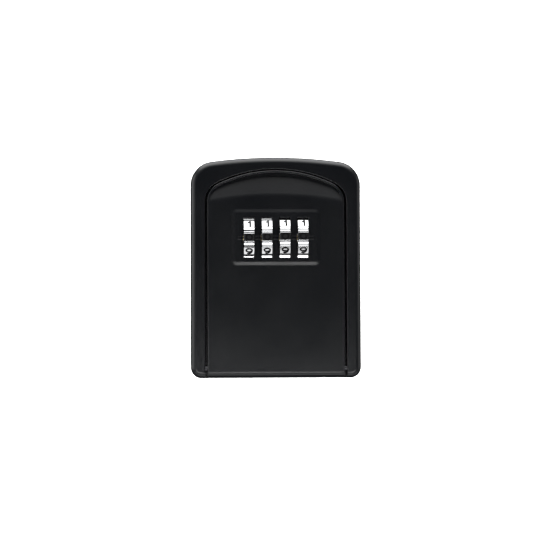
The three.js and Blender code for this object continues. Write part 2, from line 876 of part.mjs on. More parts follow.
// latch, comb, rivets and the two springs that throw the latch
piece('latch_bolt', latchBolt(), zinc, door);
piece('locking_comb', comb(), steel, door);
const combRivet = bar('y', -27.8, -23.4, 0, 0, 0.8, 12);
piece('comb_rivet_left', combRivet, zinc, door, -4.5, 0, 91);
piece('comb_rivet_right', combRivet, zinc, door, 4.5, 0, 91);
const spring = coilSpring(1.35, 0.25, 80.1, 89.3, 5);
piece('latch_spring_left', spring, steel, door, -SPRING_X, -28.3, 0);
piece('latch_spring_right', spring, steel, door, SPRING_X, -28.3, 0);

export default root;
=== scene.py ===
import math

import bmesh
import bpy
import numpy as np
from mathutils import Matrix, Vector


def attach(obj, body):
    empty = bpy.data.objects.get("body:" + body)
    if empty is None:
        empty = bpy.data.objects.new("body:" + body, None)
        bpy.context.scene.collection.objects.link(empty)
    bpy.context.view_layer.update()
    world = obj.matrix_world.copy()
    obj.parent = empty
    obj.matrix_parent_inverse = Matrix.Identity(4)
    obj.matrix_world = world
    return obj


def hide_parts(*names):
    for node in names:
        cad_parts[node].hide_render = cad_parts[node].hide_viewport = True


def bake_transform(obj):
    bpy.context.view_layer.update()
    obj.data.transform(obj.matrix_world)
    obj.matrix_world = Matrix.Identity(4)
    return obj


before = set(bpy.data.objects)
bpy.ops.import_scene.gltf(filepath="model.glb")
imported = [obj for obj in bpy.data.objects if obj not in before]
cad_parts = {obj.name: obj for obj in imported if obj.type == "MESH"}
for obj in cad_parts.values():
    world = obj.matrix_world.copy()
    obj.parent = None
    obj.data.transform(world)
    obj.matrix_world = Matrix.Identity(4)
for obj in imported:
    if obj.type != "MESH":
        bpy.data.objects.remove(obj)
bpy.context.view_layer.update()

# Looks of a wall-mounted key box with an arched door and four number wheels.
#
# The builders below work in millimetres with heights counted from the
# underside, as the part's own drawing does. put() turns a finished mesh into
# metres in the row frame and hangs it on its body.

# ---------------------------------------------------------------- dimensions

BOX_W, BOX_H, BOX_D = 92.5, 120.0, 33.5
TOP_ARC_R, TOP_CORNER_R, FOOT_CORNER_R, RIM_ROUND = 265.0, 13.0, 5.8, 3.5
FRONT = -BOX_D

RECESS = dict(hw=38.5, R=72.2, cz=41.2, r=11.8, bottom=-2.0, foot=0.0)
POCKET = dict(hw=35.0, R=68.7, cz=41.2, r=9.0, bottom=9.0, foot=2.0)
DOOR = dict(hw=37.2, R=71.4, cz=41.4, r=11.0, bottom=0.4, foot=0.8)
RECESS_Y = FRONT + 5.5
BACK_Y = -3.0

DOOR_PLATE_T, DOOR_EDGE, DOOR_FOOT_R, DOOR_HEEL_R = 3.0, 0.7, 3.3, 1.5
HINGE_Y, HINGE_Z, HINGE_SWEEP_R, PIN_R = -30.3, 5.2, 5.2, 1.5

SCOOP_R, SCOOP_Z, SCOOP_SLOPE, LIP_W = 198.0, 99.0, 0.2586, 1.4

PANEL_HW, PANEL_Z0, PANEL_Z1, PANEL_R, PANEL_RISE = 24.1, 61.1, 91.6, 3.0, 0.5
WHEEL_X = [k * 9.77 for k in (-1.5, -0.5, 0.5, 1.5)]
AXIS_Y, AXIS_Z = -27.1, 76.0
WHEEL_W, WHEEL_APOTHEM, WHEEL_GROOVE_R = 5.7, 12.5, 11.6
SLOT_W, WELL_R = 6.4, 12.95
GROOVE_HW, GROOVE_W, GROOVE_DEPTH = 20.7, 1.5, 0.4
WHEEL_PLAY = [-0.6, 0.7, 2.4, 2.4]     # degrees that each wheel rests off its index, within its detent

SLEEVE_R, SLEEVE_BORE_R, DISC_R, DISC_X0, DISC_X1, AXLE_R = 2.6, 1.65, 3.5, 3.1, 5.0, 1.4

COVER_HW, COVER_Z0, COVER_Z1, COVER_Y0, COVER_Y1, COVER_T = 32.5, 57.8, 97.2, -30.2, -12.2, 1.5
POST_X, POST_Z = 28.3, (63.2, 91.8)
LATCH_HW, LATCH_Y0, LATCH_Y1, LATCH_TOP = 7.0, -25.6, -21.6, 102.4
COMB_Z0, COMB_Z1 = 89.6, 92.4
STRIKE_HW, STRIKE_Z, STRIKE_LIP_Z = 15.0, 107.0, 102.8
SPRING_X = 23.6
WALL_HOLE_X, WALL_HOLE_Z, WALL_HOLE_R = 22.0, 28.0, 3.0
REAR_POCKETS = [(37.6, 43.2, 13, 33), (37.6, 43.2, 36, 79), (37.6, 43.2, 82, 104), (24, 37, 108.4, 114.1)]


# ------------------------------------------------------------ outlines, 2-D

def arc(cx, cy, r, a0, a1, n, last=True):
    out = []
    for i in range(n + (1 if last else 0)):
        a = math.radians(a0 + (a1 - a0) * i / n)
        out.append((cx + r * math.cos(a), cy + r * math.sin(a)))
    return out


def box_outline(inset=0.0, n_top=72, n_corner=22, n_foot=12):
    """The housing's outline in x, z, moved inwards by inset."""
    hw = BOX_W / 2
    cx = hw - TOP_CORNER_R
    ct = BOX_H - TOP_ARC_R
    cz = ct + math.sqrt((TOP_ARC_R - TOP_CORNER_R) ** 2 - cx**2)
    t = math.degrees(math.atan2(cz - ct, cx))
    r, f = TOP_CORNER_R - inset, FOOT_CORNER_R - inset
    return (
        arc(hw - FOOT_CORNER_R, FOOT_CORNER_R, f, -90, 0, n_foot)
        + arc(cx, cz, r, 0, t, n_corner, last=False)
        + arc(0, ct, TOP_ARC_R - inset, t, 180 - t, n_top, last=False)
        + arc(-cx, cz, r, 180 - t, 180, n_corner)
        + arc(-(hw - FOOT_CORNER_R), FOOT_CORNER_R, f, 180, 270, n_foot)
    )


def arch_outline(shape, inset=0.0, n_top=96, n_corner=24, n_foot=6):
    """Straight sides under an arched top, in x, z, moved inwards by inset."""
    hw, r, R = shape["hw"] - inset, shape["r"] - inset, shape["R"] - inset
    bottom = shape["bottom"] + inset
    cx = hw - r
    cz = shape["cz"] + math.sqrt((R - r) ** 2 - cx**2)
    t = math.degrees(math.atan2(cz - shape["cz"], cx))
    f = shape["foot"]
    right = arc(hw - f, bottom + f, f, -90, 0, n_foot) if f else [(hw, bottom)]
    left = arc(-(hw - f), bottom + f, f, 180, 270, n_foot) if f else [(-hw, bottom)]
    return (
        right
        + arc(cx, cz, r, 0, t, n_corner, last=False)
        + arc(0, shape["cz"], R, t, 180 - t, n_top, last=False)
        + arc(-cx, cz, r, 180 - t, 180, n_corner)
        + left
    )


def rect_outline(x0, z0, x1, z1, r, inset=0.0, n=8):
    """A rectangle with rounded corners. Outwards its corners grow, inwards they shrink."""
    x0, z0, x1, z1, r = x0 + inset, z0 + inset, x1 - inset, z1 - inset, max(r - inset, 0.02)
    return (
        arc(x1 - r, z0 + r, r, -90, 0, n)
        + arc(x1 - r, z1 - r, r, 0, 90, n)
        + arc(x0 + r, z1 - r, r, 90, 180, n)
        + arc(x0 + r, z0 + r, r, 180, 270, n)
    )


# ----------------------------------------------------------- solids, meshes

def mesh_of(verts, faces, mat=0):
    bm = bmesh.new()
    vs = [bm.verts.new(v) for v in verts]
    for f in faces:
        bm.faces.new([vs[i] for i in f]).material_index = mat
    bmesh.ops.recalc_face_normals(bm, faces=bm.faces)
    me = bpy.data.meshes.new("work")
    me.materials.append(None)
    me.materials.append(None)
    bm.to_mesh(me)
    bm.free()
    return me


def loft(rings, mat=0, closed=False):
    """Joins rings of equally many points; the end rings are capped unless the loft closes on itself."""
    n, m = len(rings[0]), len(rings)
    faces = []
    for k in range(m if closed else m - 1):
        a, b = k * n, ((k + 1) % m) * n
        for i in range(n):
            j = (i + 1) % n
            faces.append((a + i, a + j, b + j, b + i))
    if not closed:
        faces.append(tuple(range(n))[::-1])
        faces.append(tuple(range((m - 1) * n, m * n)))
    return mesh_of([p for ring in rings for p in ring], faces, mat)


def prism_y(outline, profile, mat=0):
    """outline(inset) in x, z, lofted along Y through [(inset, y), ...]."""
    return loft([[(x, y, z) for x, z in outline(inset)] for inset, y in profile], mat)


def prism_x(points, x0, x1, mat=0):
    return loft([[(x, y, z) for y, z in points] for x in (x0, x1)], mat)


def prism_yz(points, y0, y1, mat=0):
    """A fixed outline in x, z between y0 and y1."""
    return loft([[(x, y, z) for x, z in points] for y in (y0, y1)], mat)


def block(x0, x1, y0, y1, z0, z1, mat=0):
    return loft([[(x0, y, z0), (x1, y, z0), (x1, y, z1), (x0, y, z1)] for y in (y0, y1)], mat)


def place(axis, r, h, a, u, v):
    """A point of a turned shape: radius r and height h about an axis along x, y or z through u, v."""
    c, s = r * math.cos(a), r * math.sin(a)
    if axis == "x":
        return (h, u + c, v + s)
    if axis == "y":
        return (u + c, h, v + s)
    return (u + c, v + s, h)


def turned(axis, profile, u, v, n=48, closed=False, mat=0):
    """Turns [(radius, along), ...] about an axis. The profile starts and ends on the axis, or closes on itself."""
    ring = lambda r, h: [place(axis, r, h, 2 * math.pi * i / n, u, v) for i in range(n)]
    if closed:
        return loft([ring(r, h) for r, h in profile], mat, closed=True)
    verts, faces, start = [], [], []
    for r, h in profile:
        start.append(len(verts))
        verts += [place(axis, 0, h, 0, u, v)] if r == 0 else ring(r, h)
    for k in range(len(profile) - 1):
        (r0, h0), (r1, h1), a, b = profile[k], profile[k + 1], start[k], start[k + 1]
        for i in range(n):
            j = (i + 1) % n
            if r0 == 0 and r1 > 0:
                faces.append((a, b + i, b + j))
            elif r1 == 0 and r0 > 0:
                faces.append((a + i, b, a + j))
            elif r0 > 0:
                faces.append((a + i, a + j, b + j, b + i))
    return mesh_of(verts, faces, mat)


def bar(axis, a, b, u, v, r, n=48, mat=0):
    return turned(axis, [(0, a), (r, a), (r, b), (0, b)], u, v, n, mat=mat)


def ribbon(points, width, closed=False):
    """The outline, or the two outlines, of a stroke of that width along a line of points."""
    pts = np.array(points, float)
    if closed:
        d = np.roll(pts, -1, 0) - np.roll(pts, 1, 0)
    else:
        d = np.gradient(pts, axis=0)
    n = np.stack([-d[:, 1], d[:, 0]], 1)
    n /= np.linalg.norm(n, axis=1)[:, None]
    a, b = pts + n * width / 2, pts - n * width / 2
    return a, b


work = bpy.data.collections.new("work")
bpy.context.scene.collection.children.link(work)


def carve(base, *steps):
    """Runs boolean steps, each ("DIFFERENCE" or "UNION" or "INTERSECT", mesh), on a mesh."""
    holder = bpy.data.objects.new("base", base)
    work.objects.link(holder)
    tools = []
    for mode, tool in steps:
        o = bpy.data.objects.new("tool", tool)
        work.objects.link(o)
        tools.append(o)
        m = holder.modifiers.new("carve", "BOOLEAN")
        m.operation, m.object, m.solver = mode, o, "MANIFOLD"
    dg = bpy.context.evaluated_depsgraph_get()
    dg.update()
    out = bpy.data.meshes.new_from_object(holder.evaluated_get(dg))
    for o in [holder, *tools]:
        me = o.data
        bpy.data.objects.remove(o)
        bpy.data.meshes.remove(me)
    return out


def cut(base, *tools):
    return carve(base, *[("DIFFERENCE", t) for t in tools])


def join(base, *tools):
    return carve(base, *[("UNION", t) for t in tools])


def meet(base, *tools):
    return carve(base, *[("INTERSECT", t) for t in tools])


def moved(mesh, x=0.0, y=0.0, z=0.0, turn=0.0):
    """A copy, turned about X through the origin and then shifted."""
    out = mesh.copy()
    out.transform(Matrix.Translation((x, y, z)) @ Matrix.Rotation(turn, 4, "X"))
    return out


def put(name, mesh, body, materials, replaces, bevel=0.0, steps=2, sharp=32.0, limit=32.0):
    """Finishes a mesh: metres, row frame, clean faces, smooth shading with real edges, and its body."""
    mesh.transform(Matrix.Translation((0, 0, -BOX_H / 2000)) @ Matrix.Scale(0.001, 4))
    bm = bmesh.new()
    bm.from_mesh(mesh)
    bmesh.ops.remove_doubles(bm, verts=bm.verts, dist=2e-6)
    bmesh.ops.dissolve_degenerate(bm, edges=bm.edges, dist=1e-6)
    bmesh.ops.dissolve_limit(bm, angle_limit=math.radians(0.02), verts=bm.verts, edges=bm.edges, delimit={"MATERIAL"})
    for f in bm.faces:
        f.smooth = True
    for e in bm.edges:
        e.smooth = not (len(e.link_faces) == 2 and e.calc_face_angle(0) > math.radians(sharp))
        if len(e.link_faces) == 2 and e.link_faces[0].material_index != e.link_faces[1].material_index:
            e.smooth = False
    bm.to_mesh(mesh)
    bm.free()
    mesh.name = name
    for i in range(len(mesh.materials)):
        mesh.materials[i] = materials[min(i, len(materials) - 1)]
    o = bpy.data.objects.new(name, mesh)
    bpy.context.scene.collection.objects.link(o)
    if bevel:
        m = o.modifiers.new("edges", "BEVEL")
        m.width, m.segments, m.limit_method, m.angle_limit = bevel / 1000, steps, "ANGLE", math.radians(limit)
        m.use_clamp_overlap = True
        m.miter_outer = "MITER_SHARP"
    m = o.modifiers.new("normals", "WEIGHTED_NORMAL")
    m.keep_sharp = True
    m.weight = 60
    if isinstance(body, tuple):
        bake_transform(o)
    else:
        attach(o, body)
    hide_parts(*([replaces] if isinstance(replaces, str) else replaces))
    return o


def quarter(inset0, y0, inset1, y1, n=6, bulge="in"):
    """A quarter-ellipse run of (inset, y) from one point to the other.
    "in": leaves along the face and ends along the wall; "out": the other way round."""
    out = []
    for i in range(n + 1):
        a = math.pi / 2 * i / n
        if bulge == "in":
            out.append((inset0 + (inset1 - inset0) * math.sin(a), y0 + (y1 - y0) * (1 - math.cos(a))))
        else:
            out.append((inset0 + (inset1 - inset0) * (1 - math.cos(a)), y0 + (y1 - y0) * math.sin(a)))
    return out


# ------------------------------------------------------------------ materials

def nodes_of(name):
    m = bpy.data.materials.new(name)
    m.use_nodes = True
    nt = m.node_tree
    bsdf = nt.nodes["Principled BSDF"]
    return m, nt, bsdf


def add(nt, kind, **values):
    n = nt.nodes.new(kind)
    for k, v in values.items():
        if k in n.inputs:
            n.inputs[k].default_value = v
        else:
            setattr(n, k, v)
    return n


def paint(name, dark, light, rough, grain, peel, grain_h, peel_h, specular=0.5, coat=0.0):
    """Powder paint: a fine grain on a faint orange peel, with the colour and gloss varying a little."""
    m, nt, b = nodes_of(name)
    L = nt.links.new
    co = add(nt, "ShaderNodeTexCoord")
    g = add(nt, "ShaderNodeTexNoise", Scale=grain, Detail=2.0, Roughness=0.55)
    p = add(nt, "ShaderNodeTexNoise", Scale=peel, Detail=2.0, Roughness=0.5)
    broad = add(nt, "ShaderNodeTexNoise", Scale=26.0, Detail=3.0, Roughness=0.6)
    for n in (g, p, broad):
        L(co.outputs["Object"], n.inputs["Vector"])
    ramp = add(nt, "ShaderNodeValToRGB")
    ramp.color_ramp.elements[0].position, ramp.color_ramp.elements[0].color = 0.30, (*dark, 1)
    ramp.color_ramp.elements[1].position, ramp.color_ramp.elements[1].color = 0.72, (*light, 1)
    L(g.outputs["Fac"], ramp.inputs["Fac"])
    L(ramp.outputs["Color"], b.inputs["Base Color"])
    r = add(nt, "ShaderNodeMapRange")
    r.inputs["From Min"].default_value, r.inputs["From Max"].default_value = 0.3, 0.7
    r.inputs["To Min"].default_value, r.inputs["To Max"].default_value = rough - 0.035, rough + 0.045
    L(broad.outputs["Fac"], r.inputs["Value"])
    L(r.outputs["Result"], b.inputs["Roughness"])
    b1 = add(nt, "ShaderNodeBump", Strength=1.0, Distance=peel_h)
    L(p.outputs["Fac"], b1.inputs["Height"])
    b2 = add(nt, "ShaderNodeBump", Strength=1.0, Distance=grain_h)
    L(g.outputs["Fac"], b2.inputs["Height"])
    L(b1.outputs["Normal"], b2.inputs["Normal"])
    L(b2.outputs["Normal"], b.inputs["Normal"])
    b.inputs["Specular IOR Level"].default_value = specular
    if coat:
        b.inputs["Coat Weight"].default_value = coat
        b.inputs["Coat Roughness"].default_value = 0.3
    return m


def metal(name, dark, light, rough, stretch, scale, bump, spread=0.04):
    """Bare metal: fine marks drawn out along one axis over a soft mottle."""
    m, nt, b = nodes_of(name)
    L = nt.links.new
    co = add(nt, "ShaderNodeTexCoord")
    mp = add(nt, "ShaderNodeMapping")
    mp.inputs["Scale"].default_value = stretch
    marks = add(nt, "ShaderNodeTexNoise", Scale=scale, Detail=4.0, Roughness=0.65)
    soft = add(nt, "ShaderNodeTexNoise", Scale=180.0, Detail=2.0, Roughness=0.5)
    L(co.outputs["Object"], mp.inputs["Vector"])
    L(mp.outputs["Vector"], marks.inputs["Vector"])
    L(co.outputs["Object"], soft.inputs["Vector"])
    ramp = add(nt, "ShaderNodeValToRGB")
    ramp.color_ramp.elements[0].position, ramp.color_ramp.elements[0].color = 0.3, (*dark, 1)
    ramp.color_ramp.elements[1].position, ramp.color_ramp.elements[1].color = 0.7, (*light, 1)
    L(soft.outputs["Fac"], ramp.inputs["Fac"])
    L(ramp.outputs["Color"], b.inputs["Base Color"])
    r = add(nt, "ShaderNodeMapRange")
    r.inputs["From Min"].default_value, r.inputs["From Max"].default_value = 0.3, 0.7
    r.inputs["To Min"].default_value, r.inputs["To Max"].default_value = rough - spread, rough + spread
    L(marks.outputs["Fac"], r.inputs["Value"])
    L(r.outputs["Result"], b.inputs["Roughness"])
    bu = add(nt, "ShaderNodeBump", Strength=1.0, Distance=bump)
    L(marks.outputs["Fac"], bu.inputs["Height"])
    L(bu.outputs["Normal"], b.inputs["Normal"])
    b.inputs["Metallic"].default_value = 1.0
    return m


M_PAINT = paint("paint_satin", (0.0022, 0.0028, 0.0042), (0.0042, 0.0050, 0.0068), 0.325, 2600.0, 620.0, 0.000009, 0.00001)
M_COVER = paint("paint_cover", (0.011, 0.011, 0.012), (0.018, 0.018, 0.019), 0.5, 3200.0, 800.0, 0.000008, 0.000008)
M_CHROME = metal("chrome", (0.46, 0.465, 0.475), (0.54, 0.545, 0.55), 0.13, (9.0, 1.0, 1.0), 700.0, 0.0000012)
M_DIGIT = paint("digit_enamel", (0.006, 0.006, 0.007), (0.010, 0.010, 0.011), 0.75, 3000.0, 900.0, 0.000002, 0.000002, specular=0.08)
M_STEEL = metal("steel", (0.50, 0.51, 0.525), (0.60, 0.605, 0.61), 0.33, (1.0, 8.0, 8.0), 900.0, 0.0000015)
M_ZINC = metal("zinc", (0.40, 0.405, 0.42), (0.53, 0.53, 0.53), 0.42, (3.0, 3.0, 1.0), 1200.0, 0.000003)
# hinge pins: steel with a near-black colour, painted shade for the narrow gap between door and housing where they show;
# only their small metallic glint is real reflection
M_PIN_PAINTED_SHADE = metal("pin_painted_gap_shade", (0.055, 0.056, 0.06), (0.085, 0.086, 0.09), 0.34, (1.0, 8.0, 8.0), 900.0, 0.0000015)
M_BRASS = metal("brass", (0.60, 0.46, 0.22), (0.74, 0.60, 0.33), 0.34, (1.0, 8.0, 8.0), 900.0, 0.0000015)


# --------------------------------------------------------------------- pieces

def housing():
    rim = quarter(RIM_ROUND, FRONT, 0, FRONT + RIM_ROUND, 16, "in")
    rim = [(RIM_ROUND - RIM_ROUND * math.sin(a), FRONT + RIM_ROUND * (1 - math.cos(a))) for a in np.linspace(0, math.pi / 2, 17)]
    back = [(0, -0.6), (0.05, -0.36), (0.18, -0.18), (0.36, -0.05), (0.6, 0.0)]
    body = prism_y(box_outline, rim + back)

    f, g = 0.42, 0.4
    mouth = [(-f, FRONT - 1.2)] + [(-f + f * math.sin(a), FRONT + f * (1 - math.cos(a))) for a in np.linspace(0, math.pi / 2, 7)]
    recess = prism_y(
        lambda i: arch_outline(RECESS, i),
        mouth + [(0, RECESS_Y - g), (g * 0.3, RECESS_Y - g * 0.3), (g, RECESS_Y)],
    )
    m = 0.3
    pocket = prism_y(
        lambda i: arch_outline(POCKET, i),
        [(-m, RECESS_Y - 0.6), (-m, RECESS_Y), (-m * 0.3, RECESS_Y + m * 0.3), (0, RECESS_Y + m)]
        + [(1.2 - 1.2 * math.cos(a), BACK_Y - 1.2 + 1.2 * math.sin(a)) for a in np.linspace(0, math.pi / 2, 7)],
    )
    pocket = cut(pocket, block(-17, 17, RECESS_Y - 0.1, -13.5, STRIKE_Z + 0.3, 125))
    tools = [recess, pocket]
    tools.append(bar("x", -RECESS["hw"], RECESS["hw"], HINGE_Y, HINGE_Z, HINGE_SWEEP_R, 128))
    tools.append(block(-RECESS["hw"], RECESS["hw"], FRONT - 0.5, -27.3, -2, 5))
    for s in (-1, 1):
        for x0, x1, z0, z1 in REAR_POCKETS:
            a, b = sorted((s * x0, s * x1))
            tools.append(
                prism_y(
                    lambda i, a=a, b=b, z0=z0, z1=z1: rect_outline(a, z0, b, z1, 1.1, i),
                    [(0.8, FRONT + 8), (0.25, FRONT + 8.25), (0, FRONT + 8.8), (0, -0.35), (-0.1, -0.1), (-0.35, 0), (-0.35, 1)],
                )
            )
        tools.append(bar("x", *sorted((s * 38.0, s * 43.3)), HINGE_Y, HINGE_Z, PIN_R + 0.12, 40))
    for x in (-WALL_HOLE_X, WALL_HOLE_X):
        for z in (BOX_H / 2 - WALL_HOLE_Z, BOX_H / 2 + WALL_HOLE_Z):
            tools.append(
                turned("y", [(0, 1), (WALL_HOLE_R + 0.25, 1), (WALL_HOLE_R + 0.25, 0.0), (WALL_HOLE_R, -0.25), (WALL_HOLE_R, -1.2),
                             (WALL_HOLE_R + 2.4, -3.6), (0, -3.6)], x, z, 64)
            )
    for x in (-10, 10):
        tools.append(bar("z", 106, 111.2, x, -19.5, 1.62, 24))
    # round marks of the ejector pins on the floor of the pocket
    for x, z in ((-29, 20), (29, 20), (0, 60), (-29, 92), (29, 92), (0, 22)):
        tools.append(turned("y", [(0, BACK_Y - 1), (1.9, BACK_Y - 1), (1.9, BACK_Y + 0.12), (0, BACK_Y + 0.12)], x, z, 40))
    return cut(body, *tools)


def scoop_tool():
    """Floor of the finger scoop: a cone that starts with a soft crease, bounded above by the lip."""
    w = 1.5
    floor = []
    for r in [SCOOP_R - 4] + list(np.linspace(SCOOP_R - w, SCOOP_R + w, 13)) + [SCOOP_R + 4, SCOOP_R + 8, SCOOP_R + 17]:
        t = r - SCOOP_R
        if t <= -w:
            y = FRONT - 0.002 * (-w - t)
        elif t < w:
            y = FRONT + SCOOP_SLOPE * (t + w) ** 2 / (4 * w)
        else:
            y = FRONT + SCOOP_SLOPE * t
        floor.append((r, y))
    section = floor + [(SCOOP_R + 17, FRONT - 2.5), (SCOOP_R - 4, FRONT - 2.5)]
    rings = []
    for a in np.linspace(math.radians(75.5), math.radians(104.5), 121):
        rings.append([(r * math.cos(a), y, SCOOP_Z - SCOOP_R + r * math.sin(a)) for r, y in section])
    ring = loft(rings)
    f = 0.34
    mouth = [(LIP_W - f, FRONT - 1.5)] + [
        (LIP_W - f + f * math.sin(a), FRONT + f * (1 - math.cos(a))) for a in np.linspace(0, math.pi / 2, 7)
    ]
    shape = dict(DOOR, bottom=60.0, foot=0.0)
    bound = prism_y(lambda i: arch_outline(shape, i), mouth + [(LIP_W, FRONT + 5)])
    return meet(bound, ring)


def door_panel():
    rear = RECESS_Y
    e = DOOR_EDGE
    edge = [(e - e * math.sin(a), FRONT + e * (1 - math.cos(a))) for a in np.linspace(0, math.pi / 2, 9)]
    plate = prism_y(lambda i: arch_outline(DOOR, i), edge + [(0, rear - 0.3), (0.09, rear - 0.09), (0.3, rear)])
    side = (
        [(FRONT - 1, 120), (FRONT - 1, DOOR["bottom"] + DOOR_FOOT_R)]
        + arc(FRONT + DOOR_FOOT_R, DOOR["bottom"] + DOOR_FOOT_R, DOOR_FOOT_R, 180, 270, 18)
        + arc(rear - DOOR_HEEL_R, DOOR["bottom"] + DOOR_HEEL_R, DOOR_HEEL_R, 270, 360, 10)
        + [(rear + 0.5, DOOR["bottom"] + DOOR_HEEL_R), (rear + 0.5, 120)]
    )
    door = meet(plate, prism_x(side, -50, 50))

    f = 0.5
    shape = dict(DOOR, bottom=7.0, foot=2.0)
    field = prism_y(
        lambda i: arch_outline(shape, 3 + i),
        [(f, FRONT + DOOR_PLATE_T), (f * 0.3, FRONT + DOOR_PLATE_T + f * 0.3), (0, FRONT + DOOR_PLATE_T + f), (0, rear + 1)],
    )
    door = cut(door, meet(field, block(-60, 60, -40, 0, 0, 97.7)))

    # raised panel: soft foot, straight chamfer, soft upper edge
    k, top = PANEL_RISE, FRONT - PANEL_RISE
    prof = [(-0.6, FRONT + 0.4), (-0.6, FRONT + 0.012), (-0.42, FRONT - 0.004), (-0.18, FRONT - 0.03 * k), (0.08, FRONT - 0.10 * k), (0.34, FRONT - 0.215 * k)]
    prof += [(1.5, top + 0.225 * k), (1.72, top + 0.12 * k), (1.95, top + 0.045 * k), (2.2, top + 0.01 * k), (2.45, top)]
    panel = prism_y(lambda i: rect_outline(-PANEL_HW, PANEL_Z0, PANEL_HW, PANEL_Z1, PANEL_R, i, 14), prof)
    door = join(door, panel)
    door = cut(door, scoop_tool())

    add_on, away = [], []
    for x in (-POST_X, POST_X):
        for z in POST_Z:
            add_on.append(turned("y", [(0, FRONT + 2), (3.3, FRONT + 2), (3.3, FRONT + 3.02), (2.75, FRONT + 3.25), (2.5, FRONT + 3.7),
                                       (2.5, COVER_Y1 - COVER_T - 0.3), (0, COVER_Y1 - COVER_T - 0.3)], x, z, 40))
            away.append(bar("y", COVER_Y1 - 10, COVER_Y1 - 0.8, x, z, 1.25, 24))
    for a, b in ((-25.2, -22.4), (22.4, 25.2)):
        add_on.append(block(a, b, FRONT + 2, AXIS_Y + 3.4, AXIS_Z - 3.8, AXIS_Z + 3.8))
        away.append(bar("x", a - 0.5, b + 0.5, AXIS_Y, AXIS_Z, AXLE_R + 0.2, 40))
        away.append(block(a - 0.5, b + 0.5, AXIS_Y, AXIS_Y + 4, AXIS_Z - AXLE_R - 0.2, AXIS_Z + AXLE_R + 0.2))
    door = carve(door, *[("UNION", t) for t in add_on], *[("DIFFERENCE", t) for t in away])

    tools = []
    half = math.sqrt(WELL_R**2 - (AXIS_Y - top) ** 2)
    for x in WHEEL_X:
        tools.append(bar("x", x - SLOT_W / 2, x + SLOT_W / 2, AXIS_Y, AXIS_Z, WELL_R, 200))
        c = 0.22
        tools.append(
            prism_y(
                lambda i, x=x: rect_outline(x - SLOT_W / 2, AXIS_Z - half, x + SLOT_W / 2, AXIS_Z + half, 0.03, i, 3),
                [(-c, top - 1), (-c, top - 0.001)] + [(-c + c * math.sin(a), top + c * (1 - math.cos(a))) for a in np.linspace(0.2, math.pi / 2, 5)] + [(0.3, top + 0.6)],
            )
        )
    tools.append(bar("x", -22.4, 22.4, AXIS_Y, AXIS_Z, DISC_R + 0.45, 48))
    c = 0.3
    tools.append(
        prism_y(
            lambda i: rect_outline(-GROOVE_HW, AXIS_Z - GROOVE_W / 2, GROOVE_HW, AXIS_Z + GROOVE_W / 2, 0.3, i, 5),
            [(-c, top - 1), (-c, top - 0.001)] + [(-c + c * math.sin(a), top + c * (1 - math.cos(a))) for a in np.linspace(0.2, math.pi / 2, 5)]
            + [(0.02, top + GROOVE_DEPTH - 0.1), (0.12, top + GROOVE_DEPTH)],
        )
    )
    for s in (-1, 1):
        tools.append(bar("x", *sorted((s * 33.3, s * 38.0)), HINGE_Y, HINGE_Z, PIN_R + 0.2, 40))
    return cut(door, *tools)


def lock_cover():
    r = 0.8
    outer = prism_y(
        lambda i: rect_outline(-COVER_HW, COVER_Z0, COVER_HW, COVER_Z1, 4.0, i, 14),
        [(0.25, COVER_Y0), (0.07, COVER_Y0 + 0.07), (0, COVER_Y0 + 0.25)]
        + [(r - r * math.cos(a), COVER_Y1 - r + r * math.sin(a)) for a in np.linspace(0, math.pi / 2, 9)],
    )
    t = COVER_T
    inner = prism_y(
        lambda i: rect_outline(-COVER_HW + t, COVER_Z0 + t, COVER_HW - t, COVER_Z1 - t, 2.6, i, 10),
        [(0, COVER_Y0 - 1), (0, COVER_Y1 - t - 0.5), (0.15, COVER_Y1 - t - 0.15), (0.5, COVER_Y1 - t)],
    )
    cover = cut(outer, inner)
    y1 = COVER_Y1 - 0.8
    cover = join(
        cover,
        block(LATCH_HW + 0.4, LATCH_HW + 1.8, -25.4, y1, COMB_Z0 - 0.3, COVER_Z1 - 1),
        block(-LATCH_HW - 1.8, -LATCH_HW - 0.4, -25.4, y1, COMB_Z0 - 0.3, COVER_Z1 - 1),
        block(-2.5, 2.5, -20.8, y1, COMB_Z0 - 0.3, COVER_Z1 - 1),
        block(22.5, 25.1, AXIS_Y + AXLE_R + 0.35, y1, AXIS_Z - 1.5, AXIS_Z + 1.5),
        block(-25.1, -22.5, AXIS_Y + AXLE_R + 0.35, y1, AXIS_Z - 1.5, AXIS_Z + 1.5),
    )
    tools = [
        block(-LATCH_HW - 0.5, LATCH_HW + 0.5, LATCH_Y0 - 0.5, LATCH_Y1 + 0.5, COVER_Z1 - 2.5, COVER_Z1 + 1),
        prism_yz(rect_outline(-29.9, AXIS_Z - 2.2, -25, AXIS_Z + 2.2, 0.7, 0, 6), COVER_Y1 - 3, COVER_Y1 + 1),
        # shallow panel line that stiffens the back of the cover
        cut(
            prism_yz(rect_outline(-22.5, COVER_Z0 + 3.4, 22.5, COVER_Z1 - 3.4, 2.2, 0, 8), COVER_Y1 - 0.35, COVER_Y1 + 1),
            prism_yz(rect_outline(-21.5, COVER_Z0 + 4.4, 21.5, COVER_Z1 - 4.4, 1.4, 0, 8), COVER_Y1 - 2, COVER_Y1 + 2),
        ),
    ]
    for x in (-POST_X, POST_X):
        for z in POST_Z:
            tools.append(turned("y", [(0, COVER_Y1 + 0.4), (2.85, COVER_Y1 + 0.4), (1.4, COVER_Y1 - 1.05), (1.4, COVER_Y1 - 2.5), (0, COVER_Y1 - 2.5)], x, z, 48))
    for x in (-13, 13):
        tools.append(bar("y", COVER_Y1 - 3, COVER_Y1 + 1, x, 65, 0.95, 28))
    return cut(cover, *tools)


